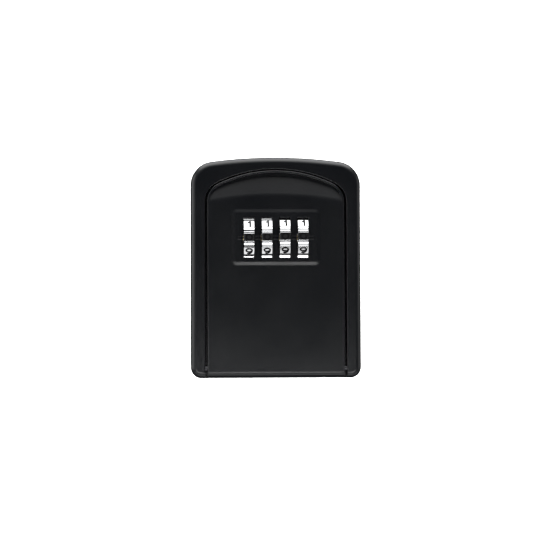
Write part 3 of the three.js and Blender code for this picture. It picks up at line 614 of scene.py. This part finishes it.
def screw(head_r, shank_r, length):
    """Countersunk screw with a cross recess. The head's flat lies at y = 0 and faces +Y."""
    pitch, depth = 0.7, 0.22
    prof = [(0, 0), (head_r - 0.12, 0), (head_r, -0.1), (shank_r, -(head_r - shank_r) - 0.05)]
    y = -(head_r - shank_r) - 0.4
    while y > -(length - 0.9):
        prof += [(shank_r - depth, y), (shank_r, y - pitch * 0.35), (shank_r, y - pitch * 0.45), (shank_r - depth, y - pitch * 0.8)]
        y -= pitch
    prof += [(shank_r - depth, -(length - 0.5)), (shank_r * 0.55, -length), (0, -length)]
    body = turned("y", prof, 0, 0, 40)
    arm, wide, deep = head_r * 0.56, head_r * 0.105, head_r * 0.42
    tools = []
    for k in (0, 1):
        ring = lambda s, w, y: [(-s, y, -w), (s, y, -w), (s, y, w), (-s, y, w)]
        t = loft([ring(arm * 1.25, wide * 1.25, 0.4), ring(arm, wide, 0), ring(arm * 0.35, wide * 0.55, -deep)])
        if k:
            t.transform(Matrix.Rotation(math.pi / 2, 4, "Y"))
        tools.append(t)
    return cut(body, *tools)


def strike_plate():
    y0, z1 = -27.4, STRIKE_Z
    profile = (
        [(y0, STRIKE_LIP_Z), (y0 + 1.5, STRIKE_LIP_Z), (y0 + 1.5, z1 - 1.8), (y0 + 1.6, z1 - 1.58), (y0 + 1.85, z1 - 1.5), (-15, z1 - 1.5), (-15, z1)]
        + arc(y0 + 1, z1 - 1, 1.0, 90, 180, 6)
    )
    plate = prism_x(profile, -STRIKE_HW, STRIKE_HW)
    tools = [turned("z", [(0, z1 - 2), (3.4, z1 - 2), (1.75, z1 - 0.35), (1.75, z1 + 1), (0, z1 + 1)], x, -19.5, 40) for x in (-10, 10)]
    return cut(plate, *tools)


def lobes(outer, inner, outer_half, inner_half):
    out = []
    for k in range(10):
        a = 36 * k
        for d, r in ((-inner_half, inner), (-outer_half, outer), (outer_half, outer), (inner_half, inner)):
            out.append((r * math.cos(math.radians(a + d)), r * math.sin(math.radians(a + d))))
    return out


def wheel_rim(inset=0.0):
    """Ten flat pads with softened corners, and a finger groove between each two."""
    corner = WHEEL_APOTHEM / math.cos(math.radians(10))
    pts = []
    for k in range(10):
        a = 180 + 36 * k
        run = [(-10, corner), (10, corner), (15.2, WHEEL_GROOVE_R + 0.08), (20.8, WHEEL_GROOVE_R + 0.08), (26, corner)]
        xy = [(r * math.cos(math.radians(a + d)), r * math.sin(math.radians(a + d))) for d, r in run]
        before = (corner * math.cos(math.radians(a - 10)), corner * math.sin(math.radians(a - 10)))
        prev = ((WHEEL_GROOVE_R + 0.08) * math.cos(math.radians(a - 15.2)), (WHEEL_GROOVE_R + 0.08) * math.sin(math.radians(a - 15.2)))
        chainp = [prev] + xy
        # corners of the pad, then of the groove's floor
        for i, cutback, n in ((1, 0.26, 4), (2, 0.26, 4), (3, 0.22, 3), (4, 0.22, 3)):
            p0, p1, p2 = map(np.array, (chainp[i - 1], chainp[i], chainp[i + 1] if i + 1 < len(chainp) else xy[-1]))
            u = (p0 - p1) / np.linalg.norm(p0 - p1)
            v = (p2 - p1) / np.linalg.norm(p2 - p1)
            s, e = p1 + u * cutback, p1 + v * cutback
            for j in range(n + 1):
                t = j / n
                q = (1 - t) ** 2 * s + 2 * t * (1 - t) * p1 + t**2 * e
                pts.append(q)
    pts = np.array(pts)
    if inset:
        r = np.linalg.norm(pts, axis=1)
        pts = pts * ((r - inset) / r)[:, None]
    return [tuple(p) for p in pts]


def ellipse(cx, cy, rx, ry, a0, a1, n):
    return [(cx + rx * math.cos(math.radians(a0 + (a1 - a0) * i / n)), cy + ry * math.sin(math.radians(a0 + (a1 - a0) * i / n))) for i in range(n + 1)]


def dense(points, step=0.12):
    out = [points[0]]
    for p, q in zip(points, points[1:]):
        d = math.hypot(q[0] - p[0], q[1] - p[1])
        n = max(1, int(d / step))
        out += [(p[0] + (q[0] - p[0]) * i / n, p[1] + (q[1] - p[1]) * i / n) for i in range(1, n + 1)]
    return out


T = 0.98                               # stroke of a numeral
NW, NH = (4.15 - T) / 2, (4.0 - T) / 2  # half width and half height of its centre line
NUMERALS = {
    0: [("loop", ellipse(0, 0, NW, NH, 0, 360, 56)[:-1])],
    1: [("line", [(0.62, -NH - T / 2), (0.62, NH + T / 2)]), ("line", [(0.62, NH + 0.02), (0.1, NH - 0.28), (-0.75, NH - 0.62)])],
    2: [("line", ellipse(0, NH - 0.98, NW, 0.98, 168, -28, 26) + [(0.25, -0.42), (-0.9, -1.05), (-NW + 0.1, -NH + 0.15)]),
        ("line", [(-NW - T / 2 + 0.1, -NH), (NW + T / 2 - 0.1, -NH)])],
    3: [("line", ellipse(0, NH - 0.78, NW - 0.1, 0.78, 158, -90, 28)), ("line", ellipse(0, -NH + 0.84, NW, 0.84, 90, -160, 28))],
    4: [("line", [(0.75, -NH - T / 2), (0.75, NH + T / 2)]), ("line", [(0.75, NH + 0.12), (-NW + 0.05, -0.62)]),
        ("line", [(-NW - 0.2, -0.72), (NW + 0.25, -0.72)])],
    5: [("line", [(-NW + 0.05, NH), (NW, NH)]), ("line", [(-NW + 0.25, NH + T / 2), (-NW + 0.1, 0.05)]),
        ("line", ellipse(-0.05, -NH + 1.0, NW, 1.0, 142, -155, 32))],
    6: [("loop", ellipse(0, -NH + 0.98, NW, 0.98, 0, 360, 48)[:-1]), ("line", ellipse(0.1, -0.5, NW + 0.08, NH + 0.5, 182, 58, 24))],
    7: [("line", [(-NW - T / 2 + 0.1, NH), (NW + T / 2 - 0.1, NH)]), ("line", [(NW - 0.05, NH + 0.2), (0.35, 0.05), (-0.45, -NH - T / 2)])],
    8: [("loop", ellipse(0, NH - 0.72, NW - 0.22, 0.72, 0, 360, 44)[:-1]), ("loop", ellipse(0, -NH + 0.82, NW, 0.82, 0, 360, 44)[:-1])],
    9: [("loop", ellipse(0, NH - 0.98, NW, 0.98, 0, 360, 48)[:-1]), ("line", ellipse(-0.1, 0.5, NW + 0.08, NH + 0.5, 2, -122, 24))],
}


def numeral_tools(depth=0.14):
    """Cutters for the engraved numerals, in groups whose strokes don't cross each other."""
    groups = [[], [], []]
    for digit, strokes in NUMERALS.items():
        a = math.radians(180 - 36 * digit)
        out = np.array((0, math.cos(a), math.sin(a)))
        up = np.array((0, math.sin(a), -math.cos(a)))
        right = np.array((1.0, 0, 0))
        for g, (kind, pts) in enumerate(strokes):
            line = pts if kind == "loop" else dense(pts)
            l, r = ribbon(line, T, closed=kind == "loop")
            at = lambda p, h: tuple(right * p[0] + up * p[1] + out * (WHEEL_APOTHEM + h))
            if kind == "loop":
                rings = [[at(p, 0.5) for p in l], [at(p, -depth) for p in l], [at(p, -depth) for p in r], [at(p, 0.5) for p in r]]
                groups[g].append((rings, True))
            else:
                outline = list(l) + list(r)[::-1]
                groups[g].append(([[at(p, 0.5) for p in outline], [at(p, -depth) for p in outline]], False))
    tools = []
    for group in groups:
        if not group:
            continue
        bm = bmesh.new()
        for rings, closed in group:
            me = loft(rings, mat=1, closed=closed)
            bm.from_mesh(me)
            bpy.data.meshes.remove(me)
        me = bpy.data.meshes.new("digits")
        me.materials.append(None)
        me.materials.append(None)
        bm.to_mesh(me)
        bm.free()
        tools.append(me)
    return tools


def dial_wheel():
    hw, c = WHEEL_W / 2, 0.3
    rings = []
    for x, inset in ((-hw, c), (-hw + 0.09, 0.09), (-hw + c, 0.0), (hw - c, 0.0), (hw - 0.09, 0.09), (hw, c)):
        rings.append([(x, y, z) for y, z in wheel_rim(inset)])
    wheel = loft(rings)
    tools = [
        bar("x", -hw - 1, 1.25, 0, 0, SLEEVE_R + 0.25, 40),
        prism_x(lobes(3.8, 3.3, 6, 12), 1.2, hw + 1),
        turned("x", [(4.7, -hw - 1), (9.2, -hw - 1), (9.0, -hw + 0.5), (4.9, -hw + 0.5)], 0, 0, 64, closed=True),
        turned("x", [(4.9, hw + 1), (9.2, hw + 1), (9.0, hw - 0.5), (5.1, hw - 0.5)], 0, 0, 64, closed=True),
    ]
    wheel = cut(wheel, *tools)
    return cut(wheel, *numeral_tools())


def code_sleeve():
    tube = bar("x", -4.5, DISC_X0 + 0.3, 0, 0, SLEEVE_R, 40)
    dog = prism_x(lobes(3.5, 3.0, 4.5, 9.5), 1.45, 2.75)
    disc = turned("x", [(0, DISC_X0), (DISC_R - 0.15, DISC_X0), (DISC_R, DISC_X0 + 0.15), (DISC_R, DISC_X1 - 0.15), (DISC_R - 0.15, DISC_X1), (0, DISC_X1)], 0, 0, 56)
    return cut(
        join(tube, dog, disc),
        bar("x", -6, 6, 0, 0, SLEEVE_BORE_R, 36),
        block(DISC_X0 - 0.1, DISC_X1 + 0.1, -1.2, 1.2, 2.15, 5),
    )


def wheel_axle():
    left, shoulder, right = -30.5, -27.0, 26.8
    prof = [(0, left), (0.8, left), (1.0, left + 0.2), (1.0, -30.2), (0.75, -30.2), (0.75, -29.4), (1.0, -29.4), (1.0, shoulder), (AXLE_R - 0.15, shoulder), (AXLE_R, shoulder + 0.15)]
    for x in (-20.05, 19.75):
        prof += [(AXLE_R, x), (1.0, x), (1.0, x + 0.8), (AXLE_R, x + 0.8)]
    prof += [(AXLE_R, right - 0.4), (AXLE_R - 0.4, right), (0, right)]
    return turned("x", prof, AXIS_Y, AXIS_Z, 40)


def ring_clip(inner, outer, thick):
    outline = arc(0, 0, outer, 35, 325, 40) + arc(0, 0, inner, 325, 35, 34)
    return prism_x(outline, -thick / 2, thick / 2)


def change_lever():
    z = AXIS_Z
    outline = [(-29.6, z - 2.8), (-22, z - 2.8), (-18.5, z - 1.8), (-10.4, z - 1.8), (-10, z - 1.4), (-10, z + 1.4),
               (-10.4, z + 1.8), (-18.5, z + 1.8), (-22, z + 2.8), (-29.6, z + 2.8)]
    return cut(prism_x(outline, -29.3, -27.2), bar("x", -31, -26, AXIS_Y, AXIS_Z, 1.15, 32))


def latch_bolt():
    outline = [(-26, COMB_Z0), (LATCH_Y1, COMB_Z0), (LATCH_Y1, LATCH_TOP - 3.2), (LATCH_Y0 + 1.3, LATCH_TOP), (LATCH_Y0 + 0.5, LATCH_TOP),
               (LATCH_Y0, LATCH_TOP - 0.9), (LATCH_Y0, COMB_Z1), (-26, COMB_Z1)]
    return cut(prism_x(outline, -LATCH_HW, LATCH_HW), bar("y", -27, -23.2, -4.5, 91, 0.95, 28), bar("y", -27, -23.2, 4.5, 91, 0.95, 28))


def comb():
    y0, y1, z0, z1 = -27.9, -26.3, COMB_Z0, COMB_Z1
    tip, tooth = AXIS_Z + DISC_R + 0.35, (DISC_X0 + DISC_X1) / 2
    outline = [(-25.3, z1), (-25.3, z0)]
    for x in WHEEL_X:
        a, b = x + tooth - 0.65, x + tooth + 0.65
        outline += [(a, z0), (a, tip + 0.4), (a + 0.3, tip), (b - 0.3, tip), (b, tip + 0.4), (b, z0)]
    outline += [(25.3, z0), (25.3, z1)]
    body = join(prism_yz(outline, y0, y1), block(-25.3, -21.7, -30, y1, z0, z0 + 1.2), block(21.7, 25.3, -30, y1, z0, z0 + 1.2))
    return cut(body, bar("y", -29, -26, -4.5, 91, 0.95, 28), bar("y", -29, -26, 4.5, 91, 0.95, 28))


def coil_spring(x, y, r, wire, z0, z1, turns, n=34, m=12):
    """Round wire wound at an even pitch from end to end."""
    rings = []
    steps = int(turns * n)
    for i in range(steps + 1):
        t = i / steps
        a = 2 * math.pi * turns * t
        ends = 0.75 / turns
        s = 0.0 if t < ends * 0.2 else t
        z = z0 + wire + (z1 - z0 - 2 * wire) * t
        c = Vector((x + r * math.cos(a), y + r * math.sin(a), z))
        d = Vector((-r * math.sin(a) * 2 * math.pi * turns, r * math.cos(a) * 2 * math.pi * turns, z1 - z0)).normalized()
        out = Vector((math.cos(a), math.sin(a), 0))
        side = d.cross(out).normalized()
        rings.append([tuple(c + out * (wire * math.cos(b)) + side * (wire * math.sin(b))) for b in np.linspace(0, 2 * math.pi, m, endpoint=False)])
    return loft(rings)


def detent_spring():
    t = 0.4
    path = [(-14.2, 67.6), (-14.2, 60.75), (-14.45, 60.2), (-15.0, 59.9), (-24.0, 60.18), (-24.7, 60.55), (-26.0, 62.2), (-26.9, 63.85), (-27.1, 64.1), (-27.3, 63.85), (-28.0, 62.6)]
    p = np.array(path)
    d = np.gradient(p, axis=0)
    n = np.stack([-d[:, 1], d[:, 0]], 1)
    n /= np.linalg.norm(n, axis=1)[:, None]
    finger = [tuple(q) for q in p + n * t / 2] + [tuple(q) for q in (p - n * t / 2)[::-1]]
    spring = block(-19, 19, -14.4, -14, 61.6, 67.6)
    spring = join(spring, *[prism_x(finger, x - 2, x + 2) for x in WHEEL_X])
    return cut(spring, bar("y", -15, -13, -13, 65, 0.95, 24), bar("y", -15, -13, 13, 65, 0.95, 24))


put("housing_shell", housing(), "housing", [M_PAINT], "body_housing")
put("door_shell", door_panel(), "door", [M_PAINT], "door_panel")
put("cover_shell", lock_cover(), "door", [M_COVER], "lock_cover", bevel=0.12)

wheel = dial_wheel()
sleeve = code_sleeve()
for i, x in enumerate(WHEEL_X, 1):
    put(f"number_wheel_{i}", moved(wheel, x, AXIS_Y, AXIS_Z, -math.radians(WHEEL_PLAY[i - 1])), f"wheel_{i}", [M_CHROME, M_DIGIT], f"dial_wheel_{i}")
    put(f"sleeve_{i}", moved(sleeve, x, AXIS_Y, AXIS_Z), f"sleeve_{i}", [M_BRASS], f"code_sleeve_{i}", bevel=0.06)

pin = turned("x", [(0, -4.5), (PIN_R - 0.25, -4.5), (PIN_R, -4.25), (PIN_R, 4.25), (PIN_R - 0.25, 4.5), (0, 4.5)], 0, 0, 40)
# the hinge pins wear the darkened steel that paints the shade of the gap around them
put("pin_left", moved(pin, -38.5, HINGE_Y, HINGE_Z), "housing", [M_PIN_PAINTED_SHADE], "hinge_pin_left")
put("pin_right", moved(pin, 38.5, HINGE_Y, HINGE_Z), "housing", [M_PIN_PAINTED_SHADE], "hinge_pin_right")
put("strike", strike_plate(), "housing", [M_STEEL], "strike_plate", bevel=0.15)
s = screw(2.6, 1.45, 5.2)
for side, x in (("left", -10), ("right", 10)):
    m = s.copy()
    m.transform(Matrix.Translation((x, -19.5, STRIKE_Z - 1.4)) @ Matrix.Rotation(-math.pi / 2, 4, "X"))
    put(f"strike_screw_head_{side}", m, "housing", [M_STEEL], f"strike_screw_{side}")
s = screw(2.15, 1.1, 8.0)
for i, (x, z) in enumerate(((-POST_X, POST_Z[1]), (POST_X, POST_Z[1]), (-POST_X, POST_Z[0]), (POST_X, POST_Z[0])), 1):
    m = s.copy()
    m.transform(Matrix.Translation((x, COVER_Y1 - 0.1, z)) @ Matrix.Rotation(math.radians(23 * i), 4, "Y"))
    put(f"cover_screw_head_{i}", m, "door", [M_STEEL], f"cover_screw_{i}")

put("detent_strip", detent_spring(), "door", [M_STEEL], "detent_spring", bevel=0.05)
rivet = turned("y", [(0, -15.1), (1.3, -15.1), (1.55, -14.95), (1.6, -14.75), (1.6, -14.55), (0.8, -14.55), (0.8, -12.6), (0.65, -12.42), (0, -12.4)], 0, 0, 32)
put("detent_rivet_head_left", moved(rivet, -13, 0, 65), "door", [M_ZINC], "detent_rivet_left")
put("detent_rivet_head_right", moved(rivet, 13, 0, 65), "door", [M_ZINC], "detent_rivet_right")

put("axle", wheel_axle(), "code_change", [M_STEEL], "wheel_axle")
clip = ring_clip(1.15, 2.5, 0.6)
put("clip_left", moved(clip, -19.65, AXIS_Y, AXIS_Z), "code_change", [M_ZINC], "axle_clip_left", bevel=0.06)
put("clip_right", moved(clip, 20.15, AXIS_Y, AXIS_Z), "code_change", [M_ZINC], "axle_clip_right", bevel=0.06)
put("clip_lever", moved(ring_clip(0.9, 2.0, 0.6), -29.8, AXIS_Y, AXIS_Z), "code_change", [M_ZINC], "lever_clip", bevel=0.06)
put("lever", change_lever(), "code_change", [M_ZINC], "change_lever", bevel=0.2, steps=3)

put("latch", latch_bolt(), "latch", [M_ZINC], "latch_bolt", bevel=0.2, steps=3)
put("comb", comb(), "latch", [M_STEEL], "locking_comb", bevel=0.1)
rivet = turned("y", [(0, -27.8), (0.6, -27.8), (0.8, -27.6), (0.8, -23.6), (0.6, -23.4), (0, -23.4)], 0, 0, 28)
put("comb_rivet_head_left", moved(rivet, -4.5, 0, 91), "latch", [M_ZINC], "comb_rivet_left")
put("comb_rivet_head_right", moved(rivet, 4.5, 0, 91), "latch", [M_ZINC], "comb_rivet_right")
for side, x in (("left", -SPRING_X), ("right", SPRING_X)):
    put(
        f"spring_{side}",
        coil_spring(x, -28.3, 1.35, 0.25, 80.1, 89.3, 5),
        ("door", "latch", (x / 1000, -0.0283, (80.6 - 60) / 1000), (x / 1000, -0.0283, (88.8 - 60) / 1000)),
        [M_STEEL],
        f"latch_spring_{side}",
    )

bpy.data.collections.remove(work)

# ---------------------------------------------------- camera, floor and light

scene = bpy.context.scene
AZ, EL, ROLL, DIST, VIEW_W = math.radians(-2.6), math.radians(-2.4), math.radians(-0.23), 1.0, 0.2926
aim = Vector((-0.00326, -0.0335, -0.0015))
cam = bpy.data.cameras.new("camera")
cam.sensor_width = 36.0
cam.lens = 18.0 / (VIEW_W / 2 / DIST)
cam.clip_start = 0.01
eye = bpy.data.objects.new("camera", cam)
scene.collection.objects.link(eye)
eye.location = aim + DIST * Vector((math.sin(AZ) * math.cos(EL), -math.cos(AZ) * math.cos(EL), math.sin(EL)))
eye.rotation_euler = ((aim - eye.location).to_track_quat("-Z", "Y").to_matrix() @ Matrix.Rotation(ROLL, 3, "Z")).to_euler()
scene.camera = eye

FLOOR_Z = -0.22
me = bpy.data.meshes.new("floor")
bm = bmesh.new()
rings = []
for x in (-3.0, 3.0):
    run = [(-3.0, FLOOR_Z), (1.6, FLOOR_Z)] + [(1.6 + 0.8 * math.sin(a), FLOOR_Z + 0.8 * (1 - math.cos(a))) for a in np.linspace(0, math.pi / 2, 16)] + [(2.4, 3.0)]
    rings.append([bm.verts.new((x, y, z)) for y, z in run])
for i in range(len(rings[0]) - 1):
    bm.faces.new((rings[0][i], rings[1][i], rings[1][i + 1], rings[0][i + 1])).smooth = True
bm.to_mesh(me)
bm.free()
floor = bpy.data.objects.new("floor", me)
scene.collection.objects.link(floor)
m, nt, b = nodes_of("floor_matt")
n = add(nt, "ShaderNodeTexNoise", Scale=40.0, Detail=2.0)
co = add(nt, "ShaderNodeTexCoord")
nt.links.new(co.outputs["Object"], n.inputs["Vector"])
ramp = add(nt, "ShaderNodeValToRGB")
ramp.color_ramp.elements[0].color = (0.86, 0.86, 0.86, 1)
ramp.color_ramp.elements[1].color = (0.90, 0.90, 0.90, 1)
nt.links.new(n.outputs["Fac"], ramp.inputs["Fac"])
nt.links.new(ramp.outputs["Color"], b.inputs["Base Color"])
b.inputs["Roughness"].default_value = 0.9
b.inputs["Specular IOR Level"].default_value = 0.1
b.inputs["Emission Color"].default_value = (1, 1, 1, 1)
b.inputs["Emission Strength"].default_value = 0.7
me.materials.append(m)


# the paint doesn't mirror the floor: below the part is the same dark that its underside shows
floor.visible_glossy = False
floor.visible_diffuse = False


def softbox(name, at, toward, w, h, radiance, colour=(1, 1, 1)):
    d = bpy.data.lights.new(name, "AREA")
    d.shape, d.size, d.size_y, d.energy, d.color = "RECTANGLE", w, h, radiance * math.pi * w * h, colour
    o = bpy.data.objects.new(name, d)
    scene.collection.objects.link(o)
    o.location = at
    o.rotation_euler = (Vector(toward) - Vector(at)).to_track_quat("-Z", "Y").to_euler()
    o.visible_camera = False
    return o


softbox("top", (0.0, -0.09, 0.75), (0.0, -0.09, 0.0), 1.2, 0.78, 4.2)
softbox("top_front", (0.0, -0.70, 0.75), (0.0, -0.70, 0.0), 1.2, 0.42, 1.8)
softbox("left", (-0.9, -0.15, 0.15), (0.0, 0.0, 0.0), 0.5, 0.8, 2.4)
softbox("left_front", (-0.80, -0.72, 0.05), (0.0, 0.0, 0.0), 0.4, 0.7, 0.9)
softbox("right", (0.9, -0.15, 0.05), (0.0, 0.0, 0.0), 0.5, 0.8, 1.0)
softbox("low", (0.0, -0.11, FLOOR_Z + 0.004), (0.0, -0.11, 1.0), 0.6, 0.08, 1.7)
softbox("strip", (0.0, -0.33, -0.165), (0.0, -0.03, -0.03), 0.4, 0.06, 8.0)
softbox("back", (0.0, 1.3, 0.9), (0.0, 1.8, 0.2), 2.5, 1.0, 8.0)

w = bpy.data.worlds.new("studio")
scene.world = w
w.use_nodes = True
nt = w.node_tree
L = nt.links.new
bg = nt.nodes["Background"]
co = add(nt, "ShaderNodeTexCoord")
sep = add(nt, "ShaderNodeSeparateXYZ")
L(co.outputs["Generated"], sep.inputs["Vector"])
side = add(nt, "ShaderNodeMapRange")
side.interpolation_type = "SMOOTHSTEP"
side.inputs["From Min"].default_value, side.inputs["From Max"].default_value = -0.5, 0.3
side.inputs["To Min"].default_value, side.inputs["To Max"].default_value = 0.035, 0.2
L(sep.outputs["Y"], side.inputs["Value"])
rise = add(nt, "ShaderNodeMapRange")
rise.interpolation_type = "SMOOTHSTEP"
rise.inputs["From Min"].default_value, rise.inputs["From Max"].default_value = -0.45, 0.0
rise.inputs["To Min"].default_value, rise.inputs["To Max"].default_value = 0.25, 1.0
L(sep.outputs["Z"], rise.inputs["Value"])
mul = add(nt, "ShaderNodeMath", operation="MULTIPLY")
L(side.outputs["Result"], mul.inputs[0])
L(rise.outputs["Result"], mul.inputs[1])
path = add(nt, "ShaderNodeLightPath")
mix = add(nt, "ShaderNodeMix")
mix.data_type = "FLOAT"
L(path.outputs["Is Camera Ray"], mix.inputs[0])
L(mul.outputs[0], mix.inputs[2])
mix.inputs[3].default_value = 1.0
L(mix.outputs[0], bg.inputs["Strength"])
bg.inputs["Color"].default_value = (1, 1, 1, 1)

scene.view_settings.view_transform = "Standard"
scene.view_settings.look = "None"
scene.view_settings.exposure = 0.0
scene.view_settings.gamma = 1.0
